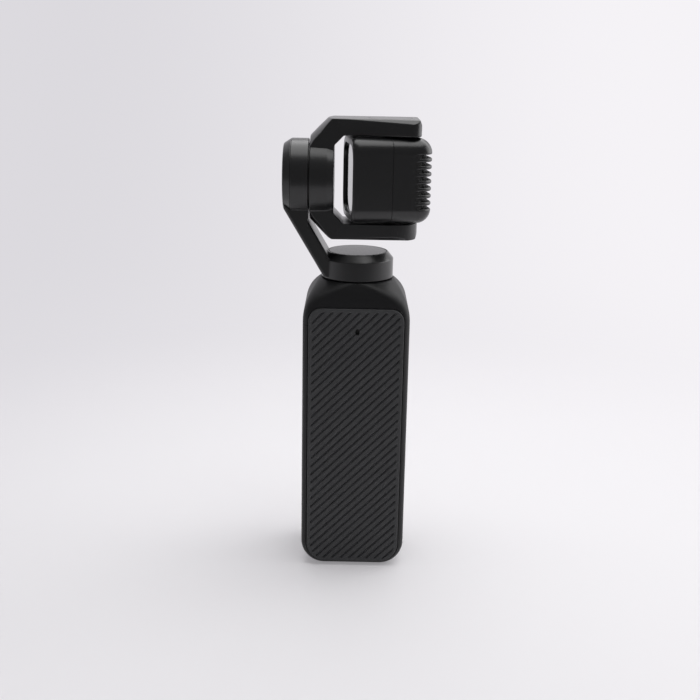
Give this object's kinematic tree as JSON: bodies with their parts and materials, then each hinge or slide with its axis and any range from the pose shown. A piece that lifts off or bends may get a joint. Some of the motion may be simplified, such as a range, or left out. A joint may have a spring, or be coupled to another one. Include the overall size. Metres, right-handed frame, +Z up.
{
  "type": "pocket gimbal camera",
  "caption": "Handheld camera with a small finned head in a motorised three-axis yoke on a slim ribbed handle with a turning rear screen.",
  "frame": {"origin": "on the flat base, on the pan axis", "axes": "+Z up along the handle, -Y towards the ribbed grip side, +Y towards the screen, -X towards the roll motor, +X towards the fins of the head"},
  "size_m": [0.0444, 0.0335, 0.1397],
  "materials": {
    "shell_black": "fine satin black moulded plastic",
    "grip_grey": "dark grey ribbed grip plastic",
    "arm_black": "satin black painted aluminium casting",
    "cap_satin": "satin dark cap",
    "screen_glass": "glossy black cover glass",
    "window_glass": "coated flat window",
    "optical_glass": "coated optical glass",
    "display": "black display module",
    "button_black": "satin black thumb cap",
    "record_red": "red record button",
    "frame_metal": "die-cast frame",
    "steel": "turned steel",
    "magnet": "nickel-plated magnet ring",
    "coil_core": "laminated core with enamelled windings",
    "board_green": "circuit board",
    "cell_wrap": "wrapped lithium cell",
    "light_clear": "clear light pipe"
  },
  "bodies": {
    "handle": {"handle_housing": "shell_black", "rear_cover": "shell_black", "shoulder_cover": "shell_black", "grip_plate": "grip_grey", "main_frame": "frame_metal", "battery_cell": "cell_wrap", "main_board": "board_green", "board_screws": "steel", "processor_shield": "frame_metal", "usb_port": "steel", "card_socket": "steel", "speaker": "shell_black", "front_microphone": "steel", "control_board": "board_green", "joystick_base": "button_black", "record_switch": "button_black", "status_light": "light_clear", "housing_screws": "steel", "turntable_bushing": "shell_black", "pan_hub": "frame_metal", "neck_screws": "steel", "pan_bearings": "steel", "pan_stator": "coil_core"},
    "screen": {"screen_frame": "shell_black", "display_panel": "display", "screen_glass": "screen_glass", "screen_spindle": "steel", "spindle_retainer": "steel", "spindle_screws": "steel"},
    "joystick_ring": {"joystick_ring": "steel"},
    "joystick_stem": {"joystick_stem": "button_black"},
    "joystick_cap": {"joystick_cap": "button_black"},
    "record_button": {"record_button": "record_red"},
    "pan_arm": {"pan_arm": "arm_black", "pan_cap": "cap_satin", "pan_magnet_ring": "magnet", "pan_shaft": "steel", "roll_stator": "coil_core", "roll_bearings": "steel", "roll_cover": "arm_black"},
    "yoke": {"yoke_frame": "arm_black", "roll_magnet_ring": "magnet", "roll_shaft": "steel", "tilt_stator": "coil_core", "tilt_motor_cover": "arm_black", "tilt_bearings": "steel", "lower_arm_cover": "arm_black"},
    "camera_head": {"head_front_shell": "arm_black", "head_rear_shell": "arm_black", "window_glass": "window_glass", "head_frame": "frame_metal", "sensor_board": "board_green", "sensor_screws": "steel", "image_sensor": "display", "lens_barrel": "button_black", "lens_elements": "optical_glass", "tilt_rotor": "magnet", "tilt_shaft": "steel", "tilt_pivot_pin": "steel"}
  },
  "joints": [
    {"name": "pan", "type": "hinge", "parent": "handle", "child": "pan_arm", "pos_m": [0, 0, 0.0955], "axis": [0, 0, 1], "range_deg": [-153, 150]},
    {"name": "roll", "type": "hinge", "parent": "pan_arm", "child": "yoke", "pos_m": [-0.017, 0, 0.1219], "axis": [1, 0, 0], "range_deg": [-130, 153]},
    {"name": "tilt", "type": "hinge", "parent": "yoke", "child": "camera_head", "pos_m": [0.009, 0, 0.1219], "axis": [0, 0, 1], "range_deg": [-6.5, 271.5]},
    {"name": "screen_turn", "type": "hinge", "parent": "handle", "child": "screen", "pos_m": [0, 0.0136, 0.0563], "axis": [0, 1, 0], "range_deg": [0, 90]},
    {"name": "joystick_up_down", "type": "hinge", "parent": "handle", "child": "joystick_ring", "pos_m": [0.0065, 0.009, 0.0145], "axis": [1, 0, 0], "range_deg": [-9, 9], "stiffness_Nm_per_rad": 0.02},
    {"name": "joystick_left_right", "type": "hinge", "parent": "joystick_ring", "child": "joystick_stem", "pos_m": [0.0065, 0.009, 0.0145], "axis": [0, 0, 1], "range_deg": [-9, 9], "stiffness_Nm_per_rad": 0.02},
    {"name": "joystick_press", "type": "slide", "parent": "joystick_stem", "child": "joystick_cap", "axis": [0, -1, 0], "range_m": [0, 0.0004], "stiffness_N_per_m": 600},
    {"name": "record_press", "type": "slide", "parent": "handle", "child": "record_button", "axis": [0, -1, 0], "range_m": [0, 0.0004], "stiffness_N_per_m": 600}
  ]
}
